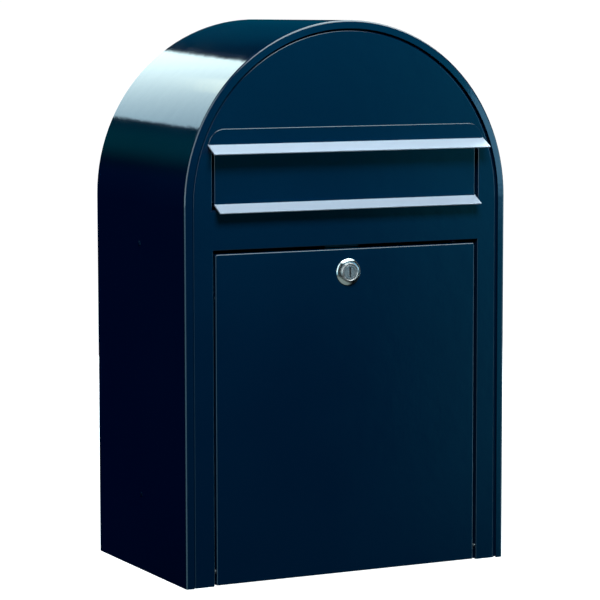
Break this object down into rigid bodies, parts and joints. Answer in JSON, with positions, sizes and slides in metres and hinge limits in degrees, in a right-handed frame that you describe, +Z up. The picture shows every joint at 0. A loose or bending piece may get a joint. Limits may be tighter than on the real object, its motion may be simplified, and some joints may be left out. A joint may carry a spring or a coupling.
{
  "type": "mailbox",
  "caption": "Arched sheet-steel mailbox with a hooded outward-opening mail flap above a lockable emptying door.",
  "frame": {"origin": "middle of the base, at the centre of the bounding box seen from above", "axes": "+X to the right seen from the front, +Y to the back (the wall side), +Z up; door and flap face -Y"},
  "size_m": [0.3814, 0.2479, 0.5869],
  "materials": {
    "navy_paint": "glossy powder coat over steel sheet",
    "navy_plastic": "gloss moulded",
    "satin_aluminium": "satin anodised",
    "zinc_plate": "bright zinc plated",
    "rubber": "matt moulded",
    "nylon": "black moulded nylon",
    "chrome": "polished chrome plate",
    "satin_nickel": "satin nickel plate"
  },
  "bodies": {
    "casing": {"casing_wrap": "navy_paint", "back_panel": "navy_paint", "floor_panel": "navy_paint", "side_hole_plugs": "navy_plastic", "front_fascia": "navy_paint", "hood_plate": "navy_paint", "hood_drip_strip": "satin_aluminium", "hood_nuts": "zinc_plate", "mail_chute": "navy_paint", "chute_nuts": "zinc_plate", "strike_plate": "navy_paint", "strike_nuts": "zinc_plate", "door_stop_brackets": "zinc_plate", "door_stop_rivets": "zinc_plate", "door_buffers": "rubber", "right_door_hinge_pin": "zinc_plate", "left_door_hinge_pin": "zinc_plate", "flap_hinge_rod": "zinc_plate", "flap_rod_clips": "zinc_plate", "flap_buffers": "rubber"},
    "flap": {"mail_flap": "navy_paint", "flap_grip_strip": "satin_aluminium", "flap_strip_nuts": "zinc_plate"},
    "door": {"door_panel": "navy_paint", "right_door_bushing": "nylon", "left_door_bushing": "nylon", "lock_bezel": "chrome", "lock_housing": "satin_nickel", "lock_washer": "zinc_plate", "lock_nut": "zinc_plate"},
    "lock_core": {"lock_plug": "satin_nickel", "lock_cam": "zinc_plate", "cam_screw": "zinc_plate"}
  },
  "joints": [
    {"name": "flap_hinge", "type": "hinge", "parent": "casing", "child": "flap", "pos_m": [0, -0.10215, 0.454], "axis": [-1, 0, 0], "range_deg": [0, 60]},
    {"name": "door_hinge", "type": "hinge", "parent": "casing", "child": "door", "pos_m": [0, -0.1023, 0.015], "axis": [1, 0, 0], "range_deg": [0, 90]},
    {"name": "lock_turn", "type": "hinge", "parent": "door", "child": "lock_core", "pos_m": [0, -0.1062, 0.3225], "axis": [0, 1, 0], "range_deg": [0, 180]}
  ]
}
